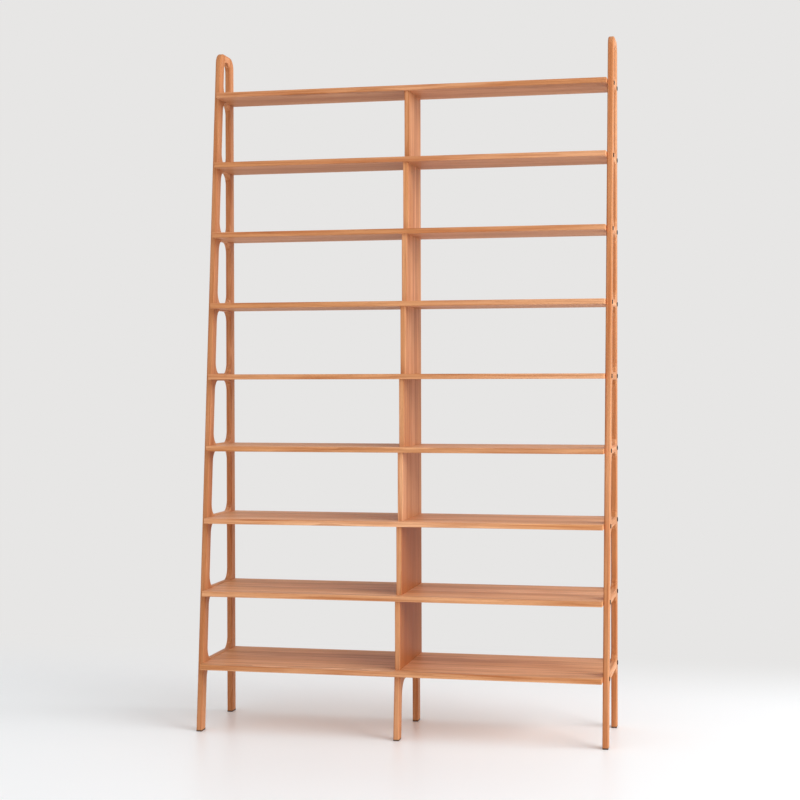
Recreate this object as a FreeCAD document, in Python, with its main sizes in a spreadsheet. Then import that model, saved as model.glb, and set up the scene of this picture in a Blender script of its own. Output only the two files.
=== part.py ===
"""Tall open wall unit: nine wooden shelves that grow deeper towards the floor, carried by two
ladder-shaped side frames whose front edge leans back, with a divider under each shelf in the
middle and a small leg frame under the lowest shelf.

Millimetres. The origin is on the floor, under the middle of the lowest shelf. X runs along the
width, the front faces -Y and the wall side +Y, Z is up. Levels count from the floor: shelf_1 is
the lowest and deepest. Depths are measured from the wall side.
"""
import FreeCAD, Part
import math
import os
import re
import Sketcher

LEVELS = 9

SIZES = [
    ("overall_width", 1420, "outer face to outer face of the side frames"),
    ("low_shelf_depth", 405, "depth of the lowest shelf"),
    ("depth_step", 25, "how much shallower each shelf is than the one below it"),
    ("low_shelf_height", 235, "top of the lowest shelf above the floor"),
    ("shelf_pitch", 250, "from one shelf to the next"),
    ("top_rise", 154, "side frames' top above the top shelf"),
    ("shelf_thickness", 18, "board thickness of the shelves"),
    ("board_round", 2, "softened front edges of shelves and dividers"),
    ("frame_thickness", 20, "thickness of the side frames"),
    ("stile_width", 42, "width of the uprights of a side frame"),
    ("rail_height", 26, "height of the rails beside the shelves"),
    ("rail_rise", 4, "rail top above the shelf top"),
    ("top_rail_height", 26, "height of the arch over the top opening"),
    ("shelf_overhang", 44, "shelf fronts ahead of the side frames"),
    ("opening_radius", 40, "corner radius of the frame openings"),
    ("opening_share", 0.46, "largest corner radius as a share of an opening's width"),
    ("top_radius", 40, "outer top corners of the side frames"),
    ("frame_edge", 3, "eased rims of the frames"),
    ("seam_offset", 6, "glued seam between rail and upright, from the upright's edge"),
    ("pad_thickness", 5, "glides under the legs"),
    ("pad_inset", 0.5, "glide edge inside the leg's outline"),
    ("divider_thickness", 18, "board thickness of the dividers"),
    ("divider_setback", 12, "divider front behind the shelf above it"),
    ("mid_thickness", 20, "thickness of the middle leg frame"),
    ("mid_leg_width", 42, "width of its legs"),
    ("mid_rail_height", 26, "height of its rail"),
    ("mid_radius", 53, "corner radius under its rail"),
    ("mid_front_setback", 30, "its front behind the lowest shelf's front"),
    ("mid_back_setback", 32, "its back leg ahead of the wall side"),
    ("mid_tenon_height", 12, "loose tenons between its rail and legs"),
    ("mid_tenon_reach", 12, "their reach each way from the seam"),
    ("mid_tenon_drop", 29, "their middle below its top, clear of the tenons from above"),
    ("tenon_thickness", 8, "loose tenons in all joints"),
    ("tenon_height", 16, "loose tenons between rail and upright"),
    ("tenon_wall", 4, "wood between a tenon's end and the screw hole"),
    ("tenon_gap", 0.5, "glue room at a tenon's ends"),
    ("plug_width", 20, "loose tenons through the shelves into the dividers"),
    ("plug_reach", 16, "their depth in the divider ends"),
    ("plug_blind", 11, "their depth in the top shelf"),
    ("plug_share", 0.28, "their distance from the divider's edges as a share of its depth"),
    ("screw_diameter", 6, "shank of the shelf screws, corner to corner"),
    ("screw_length", 50, "shank length under the head"),
    ("screw_play", 0.3, "play around the shank in the side frame"),
    ("pilot_play", 0.1, "play around the shank in the shelf end"),
    ("pilot_gap", 3, "bore past the screw's tip"),
    ("head_diameter", 15, "flat screw heads, corner to corner"),
    ("head_height", 2.5, "how far the heads stand out"),
    ("overrun", 10, "how far cutting tools pass the wood"),
]
ALIASES = {alias for alias, value, note in SIZES}
# Screw heads are drawn with twelve sides, their hidden shanks and the bores for them with six,
# so that what repeats many times stays light.
HEAD_SIDES = 12
SHANK_SIDES = 6
SAME_PLACE = 1e-6

doc = FreeCAD.newDocument("wall_unit")
sheet = doc.addObject("Spreadsheet::Sheet", "Sizes")
for row, (alias, value, note) in enumerate(SIZES, start=1):
    sheet.set(f"A{row}", alias)
    sheet.set(f"B{row}", str(value))
    sheet.set(f"C{row}", note)
    sheet.setAlias(f"B{row}", alias)
doc.recompute()

pieces = []


# Formulas: each takes and gives text in the names of the sheet.

def shelf_top(level):
    return f"(low_shelf_height + {level} * shelf_pitch)"


def shelf_depth(level):
    return f"(low_shelf_depth - {level} * depth_step)"


def frame_front(height):
    lean = "depth_step / shelf_pitch"
    return f"(low_shelf_depth - shelf_overhang - {lean} * ({height} - low_shelf_height))"


def rail_top(level):
    return f"({shelf_top(level)} + rail_rise)"


def rail_bottom(level):
    return f"({rail_top(level)} - rail_height)"


def screw_height(level):
    return f"({shelf_top(level)} - shelf_thickness / 2)"


def screw_depths(level):
    """Back and front screw of a level, on the centre lines of the two uprights."""
    return ["(stile_width / 2)", f"({frame_front(screw_height(level))} - stile_width / 2)"]


TOP_SHELF = LEVELS - 1
FRAME_TOP = f"({shelf_top(TOP_SHELF)} + top_rise)"
FRAME_LEFT = "(0 - overall_width / 2)"
HALF_INSIDE = "(overall_width / 2 - frame_thickness)"
STILE_SEAM = "(stile_width + seam_offset)"
MID_TOP = "(low_shelf_height - shelf_thickness)"
MID_SEAM = "(mid_leg_width + seam_offset)"
HEIGHT_UNDER_SHELF = "(shelf_pitch - shelf_thickness)"


def divider_depth(level):
    """Depth of the divider that stands on a shelf, set back from the shelf above it."""
    return f"({shelf_depth(level + 1)} - divider_setback)"


def mid_front(height):
    lean = "depth_step / shelf_pitch"
    return f"(low_shelf_depth - mid_front_setback + {lean} * ({MID_TOP} - {height}))"


# Helpers that bind shapes to the sheet.

def formula(text):
    """Point the words of a formula at the cells of the sheet."""
    return re.sub(r"[a-z]\w+", lambda w: f"Sizes.{w[0]}" if w[0] in ALIASES else w[0], text)


def bind(item, **sizes):
    for prop, text in sizes.items():
        item.setExpression(prop, formula(text))


def move(item, x="0", y="0", z="0"):
    """Place an object; y is given from the wall side, which lies half the depth behind Y = 0."""
    for axis, text in (("x", x), ("y", f"low_shelf_depth / 2 + {y}"), ("z", z)):
        item.setExpression(f".Placement.Base.{axis}", formula(text))


def piece(item, label):
    """Name an object as one of the unit's pieces."""
    item.Label = label
    pieces.append(item)
    return item


def plane(body, role):
    return next(part for part in body.Origin.OriginFeatures if part.Role == role)


def new_body(name):
    return doc.addObject("PartDesign::Body", name)


def new_sketch(body, name, role, offset="0"):
    sketch = body.newObject("Sketcher::SketchObject", name)
    sketch.AttachmentSupport = [(plane(body, role), "")]
    sketch.MapMode = "FlatFace"
    if offset != "0":
        sketch.setExpression(".AttachmentOffset.Base.z", formula(offset))
    return sketch


def pin(sketch, geometry, point, across, up):
    """Tie a sketch point to two formulas; a leading minus puts it on the negative side."""
    for kind, axis, text in (("DistanceX", -2, across), ("DistanceY", -1, up)):
        if text == "0":
            sketch.addConstraint(Sketcher.Constraint("PointOnObject", geometry, point, axis))
            continue
        ends = (-1, 1, geometry, point)
        if text.startswith("-"):
            ends = (geometry, point, -1, 1)
        index = sketch.addConstraint(Sketcher.Constraint(kind, *ends, 1))
        sketch.setExpression(f"Constraints[{index}]", formula(text.lstrip("-")))


def outline(sketch, corners):
    """Closed outline with straight sides through corners given as pairs of formulas."""
    count = len(corners)
    start = sketch.GeometryCount
    turns = [2 * math.pi * number / count for number in range(count)]
    guess = [FreeCAD.Vector(math.cos(turn), math.sin(turn), 0) for turn in turns]
    for number in range(count):
        line = Part.LineSegment(guess[number], guess[(number + 1) % count])
        sketch.addGeometry(line, False)
    for number, (across, up) in enumerate(corners):
        following = start + (number + 1) % count
        sketch.addConstraint(Sketcher.Constraint("Coincident", start + number, 2, following, 1))
        pin(sketch, start + number, 1, across, up)


def rectangle(sketch, low_x, high_x, low_y, high_y):
    outline(sketch, [(low_x, low_y), (high_x, low_y), (high_x, high_y), (low_x, high_y)])


def settle(feature):
    """Recompute, and stop where a feature could not be made."""
    doc.recompute()
    if {"Invalid", "Error"} & set(feature.State) or feature.Shape.isNull():
        raise RuntimeError(f"{feature.Name} has failed: {feature.getStatusString()}")
    return feature


def pad(body, sketch, length, backwards=False):
    feature = body.newObject("PartDesign::Pad", sketch.Name + "_pad")
    feature.Profile = sketch
    feature.Reversed = backwards
    bind(feature, Length=length)
    return settle(feature)


def pocket(body, sketch, length=None, backwards=False):
    """Cut a sketch out of a body, right through where no length is given."""
    before = body.Shape.Volume
    feature = body.newObject("PartDesign::Pocket", sketch.Name + "_cut")
    feature.Profile = sketch
    feature.Reversed = backwards
    if length is None:
        feature.Type = "ThroughAll"
    else:
        bind(feature, Length=length)
    settle(feature)
    if not body.Shape.Volume < before:
        raise RuntimeError(f"{feature.Name} cuts nothing")
    return feature


def fillet(body, name, edges, radius):
    base = body.Tip
    feature = body.newObject("PartDesign::Fillet", name)
    feature.Base = (base, edges)
    bind(feature, Radius=radius)
    return settle(feature)


def chamfer(body, name, edges, size):
    base = body.Tip
    feature = body.newObject("PartDesign::Chamfer", name)
    feature.Base = (base, edges)
    bind(feature, Size=size)
    return settle(feature)


def edges_where(shape, wanted):
    return [f"Edge{number}" for number, edge in enumerate(shape.Edges, start=1) if wanted(edge)]


def lies_along(edge, axis):
    """Whether a straight edge runs along the X, Y or Z direction."""
    if edge.Curve.TypeId != "Part::GeomLine":
        return False
    return abs(abs(edge.Curve.Direction.dot(axis)) - 1) < SAME_PLACE


X_AXIS = FreeCAD.Vector(1, 0, 0)
Y_AXIS = FreeCAD.Vector(0, 1, 0)
Z_AXIS = FreeCAD.Vector(0, 0, 1)


def side_faces_rim(shape, skipped_heights):
    """Edges round the two large faces of an upright board, but for those at given heights."""
    def wanted(edge):
        box = edge.BoundBox
        if box.XLength > SAME_PLACE:
            return False
        level = box.ZLength < SAME_PLACE
        skipped = any(abs(box.ZMin - height) < SAME_PLACE for height in skipped_heights)
        return not (level and skipped)
    return edges_where(shape, wanted)


def corner_points(shape):
    return [edge.CenterOfMass for edge in shape.Edges if lies_along(edge, X_AXIS)]


def fresh_corners(shape, before):
    """Corner edges along X that are not at the points from before a cut, the lowest first."""
    fresh = [
        (edge.CenterOfMass.z, f"Edge{number}")
        for number, edge in enumerate(shape.Edges, start=1)
        if lies_along(edge, X_AXIS)
        and not any(edge.CenterOfMass.distanceToPoint(point) < SAME_PLACE for point in before)
    ]
    return [name for height, name in sorted(fresh)]


def block(name, low, size):
    """Box from its low corner and its three sizes."""
    box = doc.addObject("Part::Box", name)
    bind(box, Length=size[0], Width=size[1], Height=size[2])
    move(box, *low)
    return box


def rod(name, x, depth, height, diameter, length, sides):
    """Many-sided rod along X, at a depth from the wall side and a height."""
    prism = doc.addObject("Part::Prism", name)
    prism.Polygon = sides
    prism.Placement.Rotation = FreeCAD.Rotation(Y_AXIS, 90)
    bind(prism, Circumradius=f"({diameter}) / 2", Height=length)
    move(prism, x, f"0 - {depth}", height)
    return prism


def lean_zone(name, x, thickness, low, high, back, front):
    """Upright prism between two heights; back and front give its depth limits at a height."""
    zone = doc.addObject("Part::Wedge", name)
    zone.Placement.Rotation = FreeCAD.Rotation(X_AXIS, 90)
    bind(zone, Xmin="-overrun", X2min="-overrun")
    bind(zone, Xmax=f"{thickness} + overrun", X2max=f"{thickness} + overrun")
    bind(zone, Ymin=low, Ymax=high)
    bind(zone, Zmin=back(low), Z2min=back(high), Zmax=front(low), Z2max=front(high))
    move(zone, x=x)
    return zone


def shared(name, base, tool):
    """What two solids have in common."""
    both = doc.addObject("Part::Common", name)
    both.Base = base
    both.Tool = tool
    return both


def group(name, items):
    compound = doc.addObject("Part::Compound", name)
    compound.Links = items
    return compound


def cut(name, base, tool):
    difference = doc.addObject("Part::Cut", name)
    difference.Base = base
    difference.Tool = tool
    return difference


# Side frame: one board shape with its openings, cut into uprights and rails at the glued seams.

def opening_width(height):
    return f"({frame_front(height)} - 2 * stile_width)"


def opening_corner(height):
    return f"min(opening_radius; opening_share * {opening_width(height)})"


def frame_opening(body, name, low, high):
    """Cut one opening between the uprights and round its corners."""
    before = corner_points(body.Shape)
    sketch = new_sketch(body, name, "YZ_Plane")
    outline(sketch, [
        ("-stile_width", low),
        ("-stile_width", high),
        (f"-({frame_front(high)} - stile_width)", high),
        (f"-({frame_front(low)} - stile_width)", low),
    ])
    pocket(body, sketch, backwards=True)
    lower = fresh_corners(body.Shape, before)[:2]
    fillet(body, f"{name}_lower_round", lower, opening_corner(low))
    upper = fresh_corners(body.Shape, before)[-2:]
    fillet(body, f"{name}_upper_round", upper, opening_corner(high))


def side_frame_blank():
    body = new_body("side_frame")
    profile = new_sketch(body, "side_frame_outline", "YZ_Plane")
    outline(profile, [
        ("0", "pad_thickness"),
        ("0", FRAME_TOP),
        (f"-{frame_front(FRAME_TOP)}", FRAME_TOP),
        (f"-{frame_front('pad_thickness')}", "pad_thickness"),
    ])
    pad(body, profile, "frame_thickness")
    top = body.Shape.BoundBox.ZMax
    outer = edges_where(
        body.Shape,
        lambda edge: lies_along(edge, X_AXIS) and abs(edge.CenterOfMass.z - top) < SAME_PLACE,
    )
    top_round = f"min(top_radius; opening_share * {frame_front(FRAME_TOP)})"
    fillet(body, "side_frame_top_round", outer, top_round)

    before = corner_points(body.Shape)
    gap = new_sketch(body, "leg_gap", "YZ_Plane")
    floor = "(pad_thickness - overrun)"
    outline(gap, [
        ("-stile_width", floor),
        ("-stile_width", rail_bottom(0)),
        (f"-({frame_front(rail_bottom(0))} - stile_width)", rail_bottom(0)),
        (f"-({frame_front(floor)} - stile_width)", floor),
    ])
    pocket(body, gap, backwards=True)
    corners = fresh_corners(body.Shape, before)[-2:]
    fillet(body, "leg_gap_round", corners, opening_corner(rail_bottom(0)))

    for level in range(LEVELS):
        low = rail_top(level)
        high = rail_bottom(level + 1)
        if level == TOP_SHELF:
            high = f"({FRAME_TOP} - top_rail_height)"
        frame_opening(body, f"opening_{level + 1}", low, high)

    box = body.Shape.BoundBox
    chamfer(body, "side_frame_rims", side_faces_rim(body.Shape, [box.ZMin]), "frame_edge")
    move(body, x=FRAME_LEFT)
    return body


def screw_rods(name, x, diameter, length, sides):
    """One rod for each screw of the left frame, from the lowest level up, the back one first."""
    return [
        rod(f"{name}_{level + 1}_{row}", x, depth, screw_height(level), diameter, length, sides)
        for level in range(LEVELS)
        for row, depth in zip(("back", "front"), screw_depths(level))
    ]


def frame_tenons(name, extra):
    """Loose tenons across the seams of the left frame, each longer by an extra at both ends."""
    reach = "(stile_width / 2 + seam_offset - screw_diameter / 2 - screw_play - tenon_wall)"
    x = f"{FRAME_LEFT} + (frame_thickness - tenon_thickness) / 2"
    heights = [f"({rail_bottom(level)} + rail_height / 2)" for level in range(LEVELS)]
    heights.append(f"({FRAME_TOP} - top_rail_height / 2)")
    tenons = []
    for row, height in enumerate(heights):
        seams = [STILE_SEAM, f"({frame_front(height)} - {STILE_SEAM})"]
        for side, seam in zip(("back", "front"), seams):
            low = (x, f"0 - {seam} - {reach} - {extra}", f"{height} - tenon_height / 2")
            size = ("tenon_thickness", f"2 * ({reach} + {extra})", "tenon_height")
            tenons.append(block(f"{name}_{side}_{row + 1}", low, size))
    return group(name, tenons)


def side_frames():
    holes = screw_rods(
        "frame_hole",
        f"({FRAME_LEFT} - overrun)",
        "screw_diameter + 2 * screw_play",
        "frame_thickness + 2 * overrun",
        SHANK_SIDES,
    )
    bored = cut("bored_frame", side_frame_blank(), group("frame_holes", holes))
    mortised = cut("mortised_frame", bored, frame_tenons("frame_mortises", "tenon_gap"))
    floor = "(pad_thickness - overrun)"
    ceiling = f"({FRAME_TOP} + overrun)"

    def zone(name, low, high, back, front):
        return lean_zone(name, FRAME_LEFT, "frame_thickness", low, high, back, front)

    def wall_side(height):
        return "-overrun"

    def back_seam(height):
        return STILE_SEAM

    def front_seam(height):
        return f"({frame_front(height)} - {STILE_SEAM})"

    def room_side(height):
        return f"({frame_front(height)} + overrun)"

    zones = [
        ("back_stile", zone("back_stile_zone", floor, ceiling, wall_side, back_seam)),
        ("front_stile", zone("front_stile_zone", floor, ceiling, front_seam, room_side)),
    ]
    for level in range(LEVELS):
        low = f"({shelf_top(level)} - shelf_pitch / 2)"
        high = f"({shelf_top(level)} + shelf_pitch / 2)"
        if level == TOP_SHELF:
            high = f"({shelf_top(level)} + top_rise / 2)"
        name = f"rail_{level + 1}"
        zones.append((name, zone(f"{name}_zone", low, high, back_seam, front_seam)))
    low = f"({shelf_top(TOP_SHELF)} + top_rise / 2)"
    zones.append(("top_rail", zone("top_rail_zone", low, ceiling, back_seam, front_seam)))

    left_pieces = [
        piece(shared(f"left_{name}", mortised, limits), f"left_{name}") for name, limits in zones
    ]
    left_pieces.append(piece(frame_tenons("left_frame_tenons", "0"), "left_frame_tenons"))
    return left_pieces


# Boards: shelves and the dividers that stand on them.

def plug_places(level):
    """Depths of the loose tenons in the shelf of a level, from the divider that they carry."""
    divider = divider_depth(min(level, TOP_SHELF - 1))
    return [f"(plug_share * {divider})", f"((1 - plug_share) * {divider})"]


def plug_slots(sketch, level):
    for place in plug_places(level):
        half = "tenon_thickness / 2"
        near = f"-({place} - plug_width / 2)"
        far = f"-({place} + plug_width / 2)"
        rectangle(sketch, f"-{half}", half, far, near)


def front_edges(shape, axes):
    """Straight edges of a board's front face along the given directions."""
    front = shape.BoundBox.YMin
    return edges_where(
        shape,
        lambda edge: abs(edge.BoundBox.YMax - front) < SAME_PLACE
        and any(lies_along(edge, axis) for axis in axes),
    )


def shelf(level):
    name = f"shelf_{level + 1}"
    body = new_body(f"{name}_board")
    board = new_sketch(body, f"{name}_outline", "XY_Plane")
    rectangle(board, f"-{HALF_INSIDE}", HALF_INSIDE, f"-{shelf_depth(level)}", "0")
    pad(body, board, "shelf_thickness")
    fillet(body, f"{name}_front", front_edges(body.Shape, (X_AXIS, Z_AXIS)), "board_round")

    slots = new_sketch(body, f"{name}_slots", "XY_Plane")
    plug_slots(slots, level)
    reach = "plug_blind + tenon_gap" if level == TOP_SHELF else None
    pocket(body, slots, reach, backwards=True)
    move(body, z=f"{shelf_top(level)} - shelf_thickness")

    bore = "(screw_length - frame_thickness + pilot_gap)"
    bores = [
        rod(
            f"{name}_{side}_{row}_bore",
            x,
            depth,
            screw_height(level),
            "screw_diameter + 2 * pilot_play",
            f"{bore} + overrun",
            SHANK_SIDES,
        )
        for side, x in (
            ("left", f"(0 - {HALF_INSIDE} - overrun)"),
            ("right", f"({HALF_INSIDE} - {bore})"),
        )
        for row, depth in zip(("back", "front"), screw_depths(level))
    ]
    return piece(cut(f"{name}_bored", body, group(f"{name}_bores", bores)), name)


def divider(level):
    name = f"divider_{level + 1}"
    body = new_body(name)
    board = new_sketch(body, f"{name}_outline", "XY_Plane")
    half = "divider_thickness / 2"
    rectangle(board, f"-{half}", half, f"-{divider_depth(level)}", "0")
    pad(body, board, HEIGHT_UNDER_SHELF)
    fillet(body, f"{name}_front", front_edges(body.Shape, (Z_AXIS,)), "board_round")

    foot = new_sketch(body, f"{name}_foot_slots", "XY_Plane")
    plug_slots(foot, level)
    pocket(body, foot, "plug_reach + tenon_gap", backwards=True)
    head = new_sketch(body, f"{name}_head_slots", "XY_Plane", offset=HEIGHT_UNDER_SHELF)
    plug_slots(head, level + 1)
    pocket(body, head, "plug_reach + tenon_gap")
    move(body, z=shelf_top(level))
    return piece(body, name)


def divider_tenons():
    plugs = []
    for level in range(LEVELS):
        low = f"({shelf_top(level)} - shelf_thickness - plug_reach)"
        height = "shelf_thickness + 2 * plug_reach"
        if level == TOP_SHELF:
            height = "plug_reach + plug_blind"
        for row, place in enumerate(plug_places(level)):
            corner = ("0 - tenon_thickness / 2", f"0 - {place} - plug_width / 2", low)
            size = ("tenon_thickness", "plug_width", height)
            plugs.append(block(f"divider_tenon_{level + 1}_{row + 1}", corner, size))
    return piece(group("divider_tenons", plugs), "divider_tenons")


# Middle leg frame under the lowest shelf.

def mid_frame():
    body = new_body("mid_frame")
    profile = new_sketch(body, "mid_frame_outline", "YZ_Plane")
    outline(profile, [
        ("-mid_back_setback", "pad_thickness"),
        ("-mid_back_setback", MID_TOP),
        (f"-{mid_front(MID_TOP)}", MID_TOP),
        (f"-{mid_front('pad_thickness')}", "pad_thickness"),
    ])
    pad(body, profile, "mid_thickness")

    before = corner_points(body.Shape)
    gap = new_sketch(body, "mid_leg_gap", "YZ_Plane")
    floor = "(pad_thickness - overrun)"
    high = f"({MID_TOP} - mid_rail_height)"
    inner_back = "-(mid_back_setback + mid_leg_width)"
    outline(gap, [
        (inner_back, floor),
        (inner_back, high),
        (f"-({mid_front(high)} - mid_leg_width)", high),
        (f"-({mid_front(floor)} - mid_leg_width)", floor),
    ])
    pocket(body, gap, backwards=True)
    width = f"({mid_front(high)} - mid_back_setback - 2 * mid_leg_width)"
    corners = fresh_corners(body.Shape, before)[-2:]
    fillet(body, "mid_leg_gap_round", corners, f"min(mid_radius; opening_share * {width})")

    box = body.Shape.BoundBox
    rims = side_faces_rim(body.Shape, [box.ZMin, box.ZMax])
    chamfer(body, "mid_frame_rims", rims, "frame_edge")

    slots = new_sketch(body, "mid_frame_slots", "XY_Plane", offset=MID_TOP)
    for place in plug_places(0):
        near = f"-({place} - plug_width / 2)"
        far = f"-({place} + plug_width / 2)"
        middle = "mid_thickness / 2"
        sides = (f"({middle} - tenon_thickness / 2)", f"({middle} + tenon_thickness / 2)")
        rectangle(slots, *sides, far, near)
    pocket(body, slots, "plug_reach + tenon_gap")
    move(body, x="0 - mid_thickness / 2")
    return body


def mid_tenons(name, extra):
    """Loose tenons across the seams of the middle frame, each longer by an extra at both ends."""
    height = f"({MID_TOP} - mid_tenon_drop)"
    seams = [
        ("back", f"(mid_back_setback + {MID_SEAM})"),
        ("front", f"({mid_front(height)} - {MID_SEAM})"),
    ]
    tenons = []
    for side, seam in seams:
        low = (
            "0 - tenon_thickness / 2",
            f"0 - {seam} - mid_tenon_reach - {extra}",
            f"{height} - mid_tenon_height / 2",
        )
        size = ("tenon_thickness", f"2 * (mid_tenon_reach + {extra})", "mid_tenon_height")
        tenons.append(block(f"{name}_{side}", low, size))
    return group(name, tenons)


def mid_pieces():
    mortised = cut("mortised_mid_frame", mid_frame(), mid_tenons("mid_mortises", "tenon_gap"))
    low = "(pad_thickness - overrun)"
    high = f"({MID_TOP} + overrun)"
    x = "0 - mid_thickness / 2"

    def wall_side(height):
        return "-overrun"

    def back_seam(height):
        return f"(mid_back_setback + {MID_SEAM})"

    def front_seam(height):
        return f"({mid_front(height)} - {MID_SEAM})"

    def room_side(height):
        return f"({mid_front(height)} + overrun)"

    limits = [
        ("mid_back_leg", wall_side, back_seam),
        ("mid_rail", back_seam, front_seam),
        ("mid_front_leg", front_seam, room_side),
    ]
    for name, back, front in limits:
        zone = lean_zone(f"{name}_zone", x, "mid_thickness", low, high, back, front)
        piece(shared(name, mortised, zone), name)
    piece(mid_tenons("mid_tenons", "0"), "mid_tenons")


# Fasteners and glides.

def shelf_screws():
    """Screws of the left frame: heads on its outer face, shanks through it into the shelf ends."""
    overlap = "head_height / 2"
    heads = screw_rods(
        "head", f"({FRAME_LEFT} - head_height)", "head_diameter", "head_height", HEAD_SIDES
    )
    shanks = screw_rods(
        "shank",
        f"({FRAME_LEFT} - {overlap})",
        "screw_diameter",
        f"screw_length + {overlap}",
        SHANK_SIDES,
    )
    screws = []
    for number, (head, shank) in enumerate(zip(heads, shanks), start=1):
        screw = doc.addObject("Part::Fuse", f"screw_{number}")
        screw.Base = head
        screw.Tool = shank
        screws.append(screw)
    return piece(group("left_shelf_screws", screws), "left_shelf_screws")


def foot_pads():
    """One glide under each leg."""
    leg = "(frame_thickness - 2 * pad_inset)"
    stile = "(stile_width - 2 * pad_inset)"
    back = "0 - stile_width + pad_inset"
    front = f"0 - {frame_front('pad_thickness')} + pad_inset"
    pads = []
    for side, x in (
        ("left", f"{FRAME_LEFT} + pad_inset"),
        ("right", "overall_width / 2 - frame_thickness + pad_inset"),
    ):
        for end, y in (("back", back), ("front", front)):
            pads.append(block(f"{side}_{end}_pad", (x, y, "0"), (leg, stile, "pad_thickness")))
    x = "0 - mid_thickness / 2 + pad_inset"
    size = ("mid_thickness - 2 * pad_inset", "mid_leg_width - 2 * pad_inset", "pad_thickness")
    for end, y in (
        ("back", "0 - mid_back_setback - mid_leg_width + pad_inset"),
        ("front", f"0 - {mid_front('pad_thickness')} + pad_inset"),
    ):
        pads.append(block(f"mid_{end}_pad", (x, y, "0"), size))
    return piece(group("foot_pads", pads), "foot_pads")


left_side = side_frames()
left_side.append(shelf_screws())
for left in left_side:
    mirrored = doc.addObject("Part::Mirroring", left.Label.replace("left", "right"))
    mirrored.Source = left
    mirrored.Normal = X_AXIS
    piece(mirrored, left.Label.replace("left", "right"))

for level in range(LEVELS):
    shelf(level)
for level in range(TOP_SHELF):
    divider(level)
divider_tenons()
mid_pieces()
foot_pads()
doc.recompute()

for item in doc.Objects:
    if {"Invalid", "Error"} & set(item.State):
        raise RuntimeError(f"{item.Label} has failed: {item.State}")
os.makedirs("parts", exist_ok=True)
for item in pieces:
    if item.Shape.isNull() or not item.Shape.isValid():
        raise RuntimeError(f"{item.Label} has no valid shape")
    item.Shape.exportStep(f"parts/{item.Label}.step")
    box = item.Shape.BoundBox
    print(
        f"{item.Label}: {len(item.Shape.Solids)} solids, "
        f"{box.XLength:.1f} x {box.YLength:.1f} x {box.ZLength:.1f} mm, "
        f"{item.Shape.Volume / 1000:.1f} cm3"
    )
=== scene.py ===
"""Tall open wall unit in cherry.

Two ladder side frames carry nine shelves. A divider stands on each shelf but the top one, and a
small leg frame stands under the middle of the lowest. All lengths are metres, in the frame of the
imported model: Z is up, the front faces -Y and the wall side +Y.
"""
import bmesh
import bpy
import math
from mathutils import Matrix, Vector


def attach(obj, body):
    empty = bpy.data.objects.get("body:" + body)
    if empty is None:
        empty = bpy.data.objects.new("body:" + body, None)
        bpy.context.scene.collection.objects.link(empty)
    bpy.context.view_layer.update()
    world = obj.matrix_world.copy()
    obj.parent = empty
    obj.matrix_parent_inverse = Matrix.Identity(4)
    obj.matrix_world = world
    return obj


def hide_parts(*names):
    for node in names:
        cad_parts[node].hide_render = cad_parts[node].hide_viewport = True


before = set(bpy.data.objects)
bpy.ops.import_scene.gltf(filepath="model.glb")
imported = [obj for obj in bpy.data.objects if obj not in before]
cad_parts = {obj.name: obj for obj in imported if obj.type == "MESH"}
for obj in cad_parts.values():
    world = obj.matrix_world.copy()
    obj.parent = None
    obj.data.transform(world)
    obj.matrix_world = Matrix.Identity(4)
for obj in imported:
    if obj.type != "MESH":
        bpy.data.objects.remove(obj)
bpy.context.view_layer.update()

# Uprights of the side frames.
# Solid cherry, planed 20 mm thick. The back ones stand plumb, the front ones lean back, and both
# are glued to the rails. All rims are rounded over with a cutter, which leaves a soft line of
# light along each edge.
MM = 0.001  # a millimetre in metres
LEAN = 0.1  # how far the front uprights go back for each metre of height
RIM_SOFTENING = 1.5 * MM
EASED_RIM = (35, 55)  # degrees between two faces; those of the eased rims meet at 45
SHARP_EDGE = 30  # degrees between two faces, from which their edge shows as a line
FLAT = 0.5  # degrees between two faces, up to which they are one
WELD = 0.01 * MM  # corners nearer than this are one
SPECK = 0.001 * MM  # edges shorter than this are left out


def rounded(node):
    """A copy of a frame piece with its eased rims rolled into a soft round."""
    shape = bmesh.new()
    shape.from_mesh(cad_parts[node].data)
    bmesh.ops.remove_doubles(shape, verts=shape.verts, dist=WELD)
    bmesh.ops.dissolve_limit(
        shape, angle_limit=math.radians(FLAT), verts=shape.verts, edges=shape.edges
    )
    least, most = EASED_RIM
    rims = [
        edge for edge in shape.edges
        if edge.is_manifold and least < math.degrees(edge.calc_face_angle()) < most
    ]
    bmesh.ops.bevel(
        shape, geom=rims, offset=RIM_SOFTENING, offset_type="OFFSET", segments=2,
        profile=0.5, affect="EDGES", clamp_overlap=True, material=-1,
    )
    bmesh.ops.dissolve_degenerate(shape, dist=SPECK, edges=shape.edges)
    return shape


def finished(shape, name, slot, material, *nodes):
    """Turn a shape into a piece that stands for the given nodes of the model."""
    for face in shape.faces:
        face.smooth = True
    for edge in shape.edges:
        edge.smooth = edge.is_manifold and math.degrees(edge.calc_face_angle()) < SHARP_EDGE
    mesh = bpy.data.meshes.new(name)
    shape.to_mesh(mesh)
    shape.free()
    mesh.materials.append(material)
    piece = bpy.data.objects.new(name, mesh)
    bpy.context.scene.collection.objects.link(piece)
    even = piece.modifiers.new("even_light", "WEIGHTED_NORMAL")
    even.keep_sharp = True
    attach(piece, "root")
    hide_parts(*nodes)


def linear(code):
    """A colour written as sRGB hex, in linear light."""
    levels = [int(code[start:start + 2], 16) / 255 for start in (0, 2, 4)]
    return [v / 12.92 if v < 0.04045 else ((v + 0.055) / 1.055) ** 2.4 for v in levels] + [1]


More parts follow.
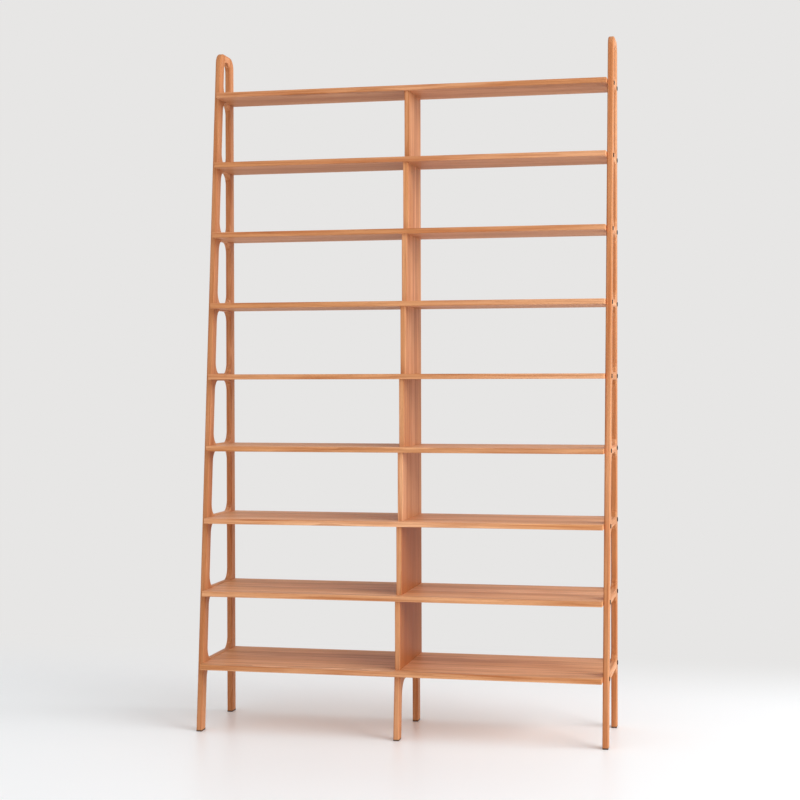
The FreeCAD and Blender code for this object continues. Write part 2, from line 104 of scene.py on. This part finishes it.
def add(tree, kind, inputs, **settings):
    """Add a node: settings are its own options, inputs fill or link its sockets."""
    made = tree.nodes.new("ShaderNode" + kind)
    for option, value in settings.items():
        setattr(made, option, value)
    for socket, value in inputs.items():
        if isinstance(value, bpy.types.NodeSocket):
            tree.links.new(value, made.inputs[socket])
        else:
            made.inputs[socket].default_value = value
    return made.outputs


def new_material(name):
    """A material with no nodes yet."""
    material = bpy.data.materials.new(name)
    material.use_nodes = True
    material.node_tree.nodes.clear()
    return material


LOG = ((0.37, 1.9), (0.23, 0.9), (0.41, 1.3))  # step from plank to plank, and the log's size
RING_SPACING = 92.4 * MM  # single year rings are too fine to show, so these are broad bands
RING_WANDER = 6 * MM  # how far the streaks bend the rings
WAVE_TURNS = 20 / math.tau  # rings that the wave node draws in a metre at a scale of 1
LIT_FRONT_DEPTH = 2 * MM  # how deep the paler front goes: painted light on the lit front face
LIT_FRONT_SHARE = 0.42  # how much of a board's darkening, wood and painted shade, is left in its paler front
NO_LIT_FRONT = -1.0  # a place in front of the whole unit


def cherry(name, grain, plank, heart_and_shade, front=NO_LIT_FRONT):
    """Cherry, planed and sanded, with a warm orange-brown stain under a satin clear coat.

    It shows fine straight grain with soft darker streaks, and a dull sheen but no mirror. grain
    turns the figure, drawn along X, the way the board was cut, and plank is a number that picks
    the place in the log. heart_and_shade says how dark and red the board is, from 0 to 1: partly
    the heart of the tree, partly painted shade for where the board stands. front is where the
    board begins along Y; the first millimetres behind it are painted paler, as painted light on
    the lit front face.
    """
    material = new_material(name)
    tree = material.node_tree
    place = add(tree, "TexCoord", {})["Object"]
    sawn = add(tree, "Mapping", {
        "Vector": place,
        "Rotation": grain,
        "Location": [step * plank % size for step, size in LOG],
    })["Vector"]

    # Figure drawn out along the grain, with its sizes along and across in millimetres. Real
    # fibres and pores are too fine to show, so they are drawn coarser.
    figure = {}
    for part, along, across, detail, bend in (
        ("cloud", 900, 90, 2, 0.0),
        ("streak", 480, 13, 3, 0.4),
        ("vein", 260, 5.5, 2, 0.3),
        ("fibre", 110, 2.2, 3, 0.0),
        ("pore", 30, 1.6, 1, 0.0),
    ):
        size = (1 / (along * MM), 1 / (across * MM), 1 / (across * MM))
        drawn = add(tree, "VectorMath", {0: sawn, 1: size}, operation="MULTIPLY")[0]
        figure[part] = add(tree, "TexNoise", {
            "Vector": drawn, "Scale": 1.0, "Detail": detail, "Distortion": bend,
        })["Fac"]

    # Year rings round the heart of the tree, which runs a little askew beside the board.
    wander = add(tree, "VectorMath", {
        0: figure["streak"], 1: (0.0, RING_WANDER, RING_WANDER),
    }, operation="MULTIPLY")[0]
    bent = add(tree, "VectorMath", {0: sawn, 1: wander}, operation="ADD")[0]
    askew = add(tree, "Mapping", {
        "Vector": bent, "Rotation": (0, 0.012, 0.02), "Location": (0, 0.05, -0.085),
    })["Vector"]
    figure["rings"] = add(tree, "TexWave", {
        "Vector": askew, "Scale": 1 / (RING_SPACING * WAVE_TURNS), "Distortion": 1.6,
        "Detail": 2.0, "Detail Scale": 1.2,
    }, wave_type="RINGS", rings_direction="X", wave_profile="SAW")["Fac"]

    # Ground tones of the paler wood and the heartwood, each between two colours.
    ground = {}
    for part, low, high, darker, lighter in (
        ("pale", 0.32, 0.68, "de9d69", "f6bc90"),
        ("heart", 0.3, 0.7, "9c5428", "b56d3c"),
    ):
        share = add(tree, "MapRange", {
            "Value": figure["cloud"], "From Min": low, "From Max": high,
        })["Result"]
        ground[part] = add(tree, "Mix", {
            0: share, 6: linear(darker), 7: linear(lighter),
        }, data_type="RGBA")[2]
    # How dark each board is: partly its wood, partly painted shade, with a paler front face that
    # is painted light.
    share = add(tree, "MapRange", {
        "Value": add(tree, "SeparateXYZ", {"Vector": place})["Y"],
        "From Min": front, "From Max": front + LIT_FRONT_DEPTH,
        "To Min": LIT_FRONT_SHARE * heart_and_shade, "To Max": heart_and_shade,
    })["Result"]
    tone = add(tree, "Mix", {
        0: share, 6: ground["pale"], 7: ground["heart"],
    }, data_type="RGBA")[2]

    # Darker figure over it: from which level up it shows, how much it covers, and its colour.
    for part, low, high, cover, colour in (
        ("streak", 0.45, 0.72, 0.85, "b3673a"),
        ("rings", 0.5, 1.0, 0.45, "a66334"),
        ("vein", 0.5, 0.7, 0.4, "a35c33"),
        ("fibre", 0.45, 0.75, 0.4, "9f5b30"),
        ("pore", 0.66, 0.74, 0.3, "7c4222"),
    ):
        share = add(tree, "MapRange", {
            "Value": figure[part], "From Min": low, "From Max": high, "To Max": cover,
        })["Result"]
        tone = add(tree, "Mix", {0: share, 6: tone, 7: linear(colour)}, data_type="RGBA")[2]

    rough = add(tree, "MapRange", {
        "Value": figure["fibre"], "From Min": 0.3, "From Max": 0.7,
        "To Min": 0.42, "To Max": 0.55,
    })["Result"]
    relief = add(tree, "Math", {0: figure["fibre"], 1: figure["pore"]}, operation="SUBTRACT")[0]
    bump = add(tree, "Bump", {
        "Height": relief, "Strength": 0.25, "Distance": 0.15 * MM,
    })["Normal"]
    wood = add(tree, "BsdfPrincipled", {
        "Base Color": tone, "Roughness": rough, "Normal": bump, "IOR": 1.5,
        "Specular IOR Level": 0.08, "Sheen Weight": 0.2, "Sheen Roughness": 0.25,
        "Sheen Tint": linear("ffd6ab"),
    })
    add(tree, "OutputMaterial", {"Surface": wood["BSDF"]})
    return material


UPRIGHT_GRAIN = (0, math.radians(90), 0)
LEANING_GRAIN = (math.atan(LEAN), math.radians(90), 0)

# The left front upright is the palest. The back ones are painted darker, partly as painted shade
# at the back of the unit, and the right front one is darker wood.
for plank, (side, upright, grain, heart_and_shade) in enumerate((
    ("left", "back", UPRIGHT_GRAIN, 0.54), ("left", "front", LEANING_GRAIN, 0.44),
    ("right", "back", UPRIGHT_GRAIN, 0.54), ("right", "front", LEANING_GRAIN, 0.54),
), 1):
    name = f"{side}_{upright}_upright"
    wood = cherry(f"cherry_{name}", grain, plank, heart_and_shade)
    node = f"{side}_{upright}_stile"
    finished(rounded(node), name, "frame_wood", wood, node)

# Rails of the side frames.
# Cherry too, with the grain running from front to back. One stands beside each shelf, and its
# ends are worked with the uprights into one round corner; the arch over the top opening is the
# last of them.
CROSS_GRAIN = (0, 0, math.radians(90))
RAILS = [f"rail_{level}" for level in range(1, 10)] + ["top_rail"]

for side, first_plank in (("left", 10), ("right", 22)):
    for plank, rail in enumerate(RAILS, first_plank):
        node = f"{side}_{rail}"
        wood = cherry(f"cherry_{node}", CROSS_GRAIN, plank, heart_and_shade=0.36)
        finished(rounded(node), f"{node}_round", "frame_wood", wood, node)

# Loose tenons.
# Flat slips of beech, sawn and left raw, because they are glued into the seams of the frames and
# through the shelves and never seen.
FLECK_LENGTH = 25 * MM
FLECK_WIDTH = 5 / 3 * MM


def raw_beech():
    """Beech, sawn and unfinished: pale pink-brown, matt and dry, with short dark flecks."""
    material = new_material("beech_raw")
    tree = material.node_tree
    place = add(tree, "TexCoord", {})["Object"]
    size = (1 / FLECK_WIDTH, 1 / FLECK_LENGTH, 1 / FLECK_WIDTH)
    drawn = add(tree, "VectorMath", {0: place, 1: size}, operation="MULTIPLY")[0]
    fleck = add(tree, "TexNoise", {"Vector": drawn, "Scale": 1.0, "Detail": 3.0})["Fac"]
    share = add(tree, "MapRange", {
        "Value": fleck, "From Min": 0.45, "From Max": 0.7,
    })["Result"]
    tone = add(tree, "Mix", {
        0: share, 6: linear("d9b48f"), 7: linear("b98960"),
    }, data_type="RGBA")[2]
    rough = add(tree, "MapRange", {"Value": fleck, "To Min": 0.7, "To Max": 0.9})["Result"]
    bump = add(tree, "Bump", {
        "Height": fleck, "Strength": 0.4, "Distance": 0.2 * MM,
    })["Normal"]
    wood = add(tree, "BsdfPrincipled", {"Base Color": tone, "Roughness": rough, "Normal": bump})
    add(tree, "OutputMaterial", {"Surface": wood["BSDF"]})
    return material


beech = raw_beech()
for node in ("left_frame_tenons", "right_frame_tenons", "divider_tenons", "mid_tenons"):
    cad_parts[node].material_slots[0].material = beech

# Shelves.
# Cherry boards, 18 mm thick and each deeper than the one above, with their front edges eased by
# hand. They run between the side frames and past them at the front, with the grain along their
# length. The lowest three are the palest, and the ones above are painted darker and darker, as
# painted shade for the light from the floor that falls off with height.
BOARD_GRAIN = (0, 0, 0)
SHELF_PAINTED_SHADE = (0.0, 0.0, 0.0, 0.04, 0.2, 0.26, 0.32, 0.37, 0.42)

for level, heart_and_shade in enumerate(SHELF_PAINTED_SHADE, 1):
    node = f"shelf_{level}"
    wood = cherry(f"cherry_{node}", BOARD_GRAIN, plank=40 + level, heart_and_shade=heart_and_shade)
    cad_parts[node].material_slots[0].material = wood

# Dividers.
# Cherry boards with upright grain that stand on the shelves in the middle of the width, on loose
# tenons. The lowest two are painted much darker, as painted shade deep in the low bays, and all
# but the top one have a paler front face, painted light where light falls on the front.
DIVIDER_PAINTED_SHADE = (1.0, 1.0, 0.4, 0.4, 0.18, 0.1, 0.16, 0.32)
LOWEST_FRONT = -165.5 * MM
STEP_BACK = 25 * MM  # how much farther back each divider begins than the one below

for level, heart_and_shade in enumerate(DIVIDER_PAINTED_SHADE, 1):
    front = LOWEST_FRONT + STEP_BACK * (level - 1)
    if level == len(DIVIDER_PAINTED_SHADE):
        front = NO_LIT_FRONT
    node = f"divider_{level}"
    wood = cherry(
        f"cherry_{node}", UPRIGHT_GRAIN, plank=60 + level, heart_and_shade=heart_and_shade, front=front,
    )
    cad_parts[node].material_slots[0].material = wood

# Middle leg frame.
# Two legs and a rail under the lowest shelf, in cherry, made as the side frames are and held
# under the shelf by loose tenons.
for node, grain, plank in (
    ("mid_back_leg", UPRIGHT_GRAIN, 80), ("mid_rail", CROSS_GRAIN, 81),
    ("mid_front_leg", LEANING_GRAIN, 82),
):
    wood = cherry(f"cherry_{node}", grain, plank, heart_and_shade=0.32)
    finished(rounded(node), f"{node}_round", "frame_wood", wood, node)

# Shelf screws.
# Steel with a black coat, each with a flat head that has a turned rim and a hexagon socket. Two
# go through each side frame into every shelf end, and the heads stay in sight on the outer faces.
SOCKET_WIDTH = 5 * MM
SOCKET_DEPTH = 1.6 * MM
HEAD_HEIGHT = 2.5 * MM
HEAD_RIM = ((1.1 * MM, 0), (0.4 * MM, 0.25 * MM), (0, 0.9 * MM))  # in from its edge, and down
SHANK_RADIUS = 3 * MM
TIP_RADIUS = 0.4 * MM
STEEL_GRIT = 10 / 9 * MM  # real turning marks are too fine to show, so these are coarser


def solids_of(node):
    """Lowest and highest corner of each separate solid in a node, in the order of their places."""
    shape = bmesh.new()
    shape.from_mesh(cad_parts[node].data)
    bmesh.ops.remove_doubles(shape, verts=shape.verts, dist=WELD)
    waiting = set(shape.verts)
    corners = []
    while waiting:
        found = {waiting.pop()}
        edge_of_search = set(found)
        while edge_of_search:
            near = {link.other_vert(v) for v in edge_of_search for link in v.link_edges}
            edge_of_search = near - found
            found |= near
        waiting -= found
        places = [v.co for v in found]
        corners.append((
            Vector([min(p[axis] for p in places) for axis in range(3)]),
            Vector([max(p[axis] for p in places) for axis in range(3)]),
        ))
    shape.free()
    return sorted(corners, key=lambda pair: tuple(pair[0]))


def black_steel():
    """Steel, turned and coated black: near black and half matt, with fine marks."""
    material = new_material("steel_burnished_black")
    tree = material.node_tree
    place = add(tree, "TexCoord", {})["Object"]
    grit = add(tree, "TexNoise", {
        "Vector": place, "Scale": 1 / STEEL_GRIT, "Detail": 2.0,
    })["Fac"]
    tone = add(tree, "Mix", {
        0: grit, 6: linear("241e1a"), 7: linear("3b312b"),
    }, data_type="RGBA")[2]
    rough = add(tree, "MapRange", {"Value": grit, "To Min": 0.3, "To Max": 0.5})["Result"]
    bump = add(tree, "Bump", {
        "Height": grit, "Strength": 0.2, "Distance": 0.05 * MM,
    })["Normal"]
    steel = add(tree, "BsdfPrincipled", {
        "Base Color": tone, "Metallic": 1.0, "Roughness": rough, "Normal": bump,
    })
    add(tree, "OutputMaterial", {"Surface": steel["BSDF"]})
    return material


def screw(low, high, outward):
    """One screw along X between two corners, with its head on the outward side."""
    radius = (high.y - low.y) / 2
    length = high.x - low.x
    shape = bmesh.new()
    bmesh.ops.create_circle(shape, segments=6, radius=SOCKET_WIDTH / 2)
    bmesh.ops.subdivide_edges(shape, edges=shape.edges, cuts=3)
    bmesh.ops.translate(shape, verts=shape.verts, vec=(0, 0, -SOCKET_DEPTH))
    bmesh.ops.edgeloop_fill(shape, edges=shape.edges)

    def drawn_to(edges, height, circle=None):
        """The outline's next place, at a height and on a circle if one is given."""
        grown = bmesh.ops.extrude_edge_only(shape, edges=edges)["geom"]
        points = [item for item in grown if isinstance(item, bmesh.types.BMVert)]
        for point in points:
            if circle:
                point.co.x, point.co.y = point.co.xy.normalized() * circle
            point.co.z = height
        return [
            item for item in grown
            if isinstance(item, bmesh.types.BMEdge) and all(v in points for v in item.verts)
        ]

    outline = drawn_to(list(shape.edges), 0)
    for inwards, down in HEAD_RIM:
        outline = drawn_to(outline, -down, radius - inwards)
    for circle, down in (
        (radius, HEAD_HEIGHT), (SHANK_RADIUS, HEAD_HEIGHT),
        (SHANK_RADIUS, length - SHANK_RADIUS), (TIP_RADIUS, length),
    ):
        outline = drawn_to(outline, -down, circle)
    bmesh.ops.edgeloop_fill(shape, edges=outline)
    turn = Matrix.Rotation(math.radians(90 * outward), 4, "Y")
    top = high.x if outward > 0 else low.x
    centre = Vector((top, (low.y + high.y) / 2, (low.z + high.z) / 2))
    bmesh.ops.transform(shape, matrix=Matrix.Translation(centre) @ turn, verts=shape.verts)
    return shape


def gathered(shapes):
    """Several shapes in one."""
    whole = bmesh.new()
    for shape in shapes:
        mesh = bpy.data.meshes.new("part")
        shape.to_mesh(mesh)
        shape.free()
        whole.from_mesh(mesh)
        bpy.data.meshes.remove(mesh)
    bmesh.ops.recalc_face_normals(whole, faces=whole.faces)
    return whole


steel = black_steel()
for side, outward in (("left", -1), ("right", 1)):
    node = f"{side}_shelf_screws"
    screws = [screw(low, high, outward) for low, high in solids_of(node)]
    finished(gathered(screws), f"{side}_screws", "black_metal", steel, node)

# Glides.
# Thin cups of dark brown plastic, moulded with softened rims and pinned under each of the six
# legs. They keep the wood off the floor.
GLIDE_CORNER = 0.8 * MM
GLIDE_RIM = 0.6 * MM
GLIDE_GRAIN = 10 / 7 * MM  # the mould's real grain is too fine to show, so this is coarser


def glide_plastic():
    """Polypropylene, moulded dark brown: matt, with a fine spark-eroded grain."""
    material = new_material("polypropylene_dark_brown")
    tree = material.node_tree
    place = add(tree, "TexCoord", {})["Object"]
    grain = add(tree, "TexNoise", {
        "Vector": place, "Scale": 1 / GLIDE_GRAIN, "Detail": 2.0,
    })["Fac"]
    tone = add(tree, "Mix", {
        0: grain, 6: linear("4a372b"), 7: linear("5e4737"),
    }, data_type="RGBA")[2]
    rough = add(tree, "MapRange", {"Value": grain, "To Min": 0.55, "To Max": 0.7})["Result"]
    bump = add(tree, "Bump", {
        "Height": grain, "Strength": 0.3, "Distance": 0.1 * MM,
    })["Normal"]
    plastic = add(tree, "BsdfPrincipled", {
        "Base Color": tone, "Roughness": rough, "Normal": bump, "IOR": 1.49,
        "Specular IOR Level": 0.2,
    })
    add(tree, "OutputMaterial", {"Surface": plastic["BSDF"]})
    return material


def glide(low, high):
    """One glide between two corners, with its upright edges and its lower rim softened."""
    shape = bmesh.new()
    bmesh.ops.create_cube(shape, size=1)
    bmesh.ops.scale(shape, vec=high - low, verts=shape.verts)
    bmesh.ops.translate(shape, vec=(low + high) / 2, verts=shape.verts)
    upright = [e for e in shape.edges if abs(e.verts[0].co.z - e.verts[1].co.z) > MM]
    bmesh.ops.bevel(
        shape, geom=upright, offset=GLIDE_CORNER, offset_type="OFFSET", segments=3,
        profile=0.5, affect="EDGES", material=-1,
    )
    bottom = [e for e in shape.edges if max(v.co.z for v in e.verts) < low.z + WELD]
    bmesh.ops.bevel(
        shape, geom=bottom, offset=GLIDE_RIM, offset_type="OFFSET", segments=3,
        profile=0.5, affect="EDGES", material=-1,
    )
    return shape


finished(
    gathered([glide(low, high) for low, high in solids_of("foot_pads")]),
    "glides", "glide_plastic", glide_plastic(), "foot_pads",
)

# Room.
# A pale, slightly polished floor that runs off into an even background, a soft sky all round, one
# large soft window from the right, which throws the shadows to the left, and a faint light from
# the ceiling.
FLOOR_REACH = 14  # metres from the middle to each side
FADE_BEHIND = (0.5, 1.7)  # metres behind the unit's middle, where the floor runs off
FADE_AROUND = (2.5, 6.0)  # metres all round it, where it does so too
BACKGROUND = linear("e7e6e5")


def seen_plainly(tree):
    """1 for rays from the camera and for those mirrored or let through.

    These all see the plain background, and the others see the light of the room.
    """
    path = add(tree, "LightPath", {})
    bent = add(tree, "Math", {
        0: path["Is Glossy Ray"], 1: path["Is Transmission Ray"],
    }, operation="MAXIMUM")[0]
    return add(tree, "Math", {0: path["Is Camera Ray"], 1: bent}, operation="MAXIMUM")[0]


def pale_floor():
    """Sealed pale concrete: nearly white, with a dim mirror of what stands on it."""
    material = new_material("floor_sealed_pale")
    tree = material.node_tree
    place = add(tree, "TexCoord", {})["Object"]
    behind = add(tree, "SeparateXYZ", {"Vector": place})["Y"]
    around = add(tree, "VectorMath", {0: place}, operation="LENGTH")["Value"]
    fades = [
        add(tree, "MapRange", {
            "Value": distance, "From Min": start, "From Max": end,
        }, interpolation_type="SMOOTHSTEP")["Result"]
        for distance, (start, end) in ((behind, FADE_BEHIND), (around, FADE_AROUND))
    ]
    far = add(tree, "Math", {0: fades[0], 1: fades[1]}, operation="MAXIMUM")[0]
    paint = add(tree, "BsdfPrincipled", {
        "Base Color": linear("fafafa"), "Roughness": 0.36, "Specular IOR Level": 0.3,
    })["BSDF"]
    haze = add(tree, "Emission", {"Color": BACKGROUND, "Strength": 1.0})["Emission"]
    share = add(tree, "Math", {0: far, 1: seen_plainly(tree)}, operation="MULTIPLY")[0]
    surface = add(tree, "MixShader", {0: share, 1: paint, 2: haze})["Shader"]
    add(tree, "OutputMaterial", {"Surface": surface})
    return material


shape = bmesh.new()
bmesh.ops.create_grid(shape, x_segments=1, y_segments=1, size=FLOOR_REACH)
floor_mesh = bpy.data.meshes.new("floor")
shape.to_mesh(floor_mesh)
shape.free()
floor_mesh.materials.append(pale_floor())
floor = bpy.data.objects.new("floor", floor_mesh)
bpy.context.scene.collection.objects.link(floor)

world = bpy.data.worlds.new("room")
world.use_nodes = True
sky = world.node_tree
sky.nodes.clear()
ambient = add(sky, "Background", {"Color": linear("fafdff"), "Strength": 0.72})["Background"]
backdrop = add(sky, "Background", {"Color": BACKGROUND, "Strength": 1.0})["Background"]
shown = add(sky, "MixShader", {0: seen_plainly(sky), 1: ambient, 2: backdrop})["Shader"]
add(sky, "OutputWorld", {"Surface": shown})
bpy.context.scene.world = world


def window(name, place, aim, width, height, power, colour):
    """A large soft light at a place, turned towards an aim."""
    light = bpy.data.lights.new(name, "AREA")
    light.shape = "RECTANGLE"
    light.size, light.size_y = width, height
    light.energy = power
    light.color = linear(colour)[:3]
    lamp = bpy.data.objects.new(name, light)
    lamp.location = place
    lamp.rotation_euler = (Vector(aim) - Vector(place)).to_track_quat("-Z", "Y").to_euler()
    lamp.visible_camera = False
    bpy.context.scene.collection.objects.link(lamp)


window(
    "right_window", place=(9.0, -2.75, 4.4), aim=(0, 0, 1.1),
    width=10.5, height=4.4, power=1030, colour="f8fcff",
)
window(
    "ceiling", place=(0.5, -2.6, 6.0), aim=(0, -0.3, 0),
    width=6.0, height=4.0, power=18, colour="ffffff",
)

# Camera.
# It stands to the right of the middle, at chest height, where the photo was taken from, and looks
# a little to the left and almost level.
STANDPOINT = (1.18142, -5.58291, 1.22336)
YAW, PITCH, ROLL = (math.radians(a) for a in (12.193, -0.611, -0.138))
PHOTO_WIDTH = 800  # pixels, as the next two
FOCAL_LENGTH = 1645.003
CENTRE_SHIFT = -5.166
SENSOR_WIDTH = 36  # millimetres

ahead = Vector((
    -math.sin(YAW) * math.cos(PITCH), math.cos(YAW) * math.cos(PITCH), math.sin(PITCH),
))
right = Vector((math.cos(YAW), math.sin(YAW), 0))
up = right.cross(ahead)
rolled_right = right * math.cos(ROLL) + up * math.sin(ROLL)
rolled_up = up * math.cos(ROLL) - right * math.sin(ROLL)
lens = bpy.data.cameras.new("camera")
lens.sensor_fit = "HORIZONTAL"
lens.sensor_width = SENSOR_WIDTH
lens.lens = SENSOR_WIDTH * FOCAL_LENGTH / PHOTO_WIDTH
lens.shift_y = CENTRE_SHIFT / PHOTO_WIDTH
camera = bpy.data.objects.new("camera", lens)
camera.matrix_world = Matrix.Translation(STANDPOINT) @ Matrix(
    (rolled_right, rolled_up, -ahead)
).transposed().to_4x4()
bpy.context.scene.collection.objects.link(camera)
bpy.context.scene.camera = camera

bpy.context.scene.view_settings.view_transform = "Standard"
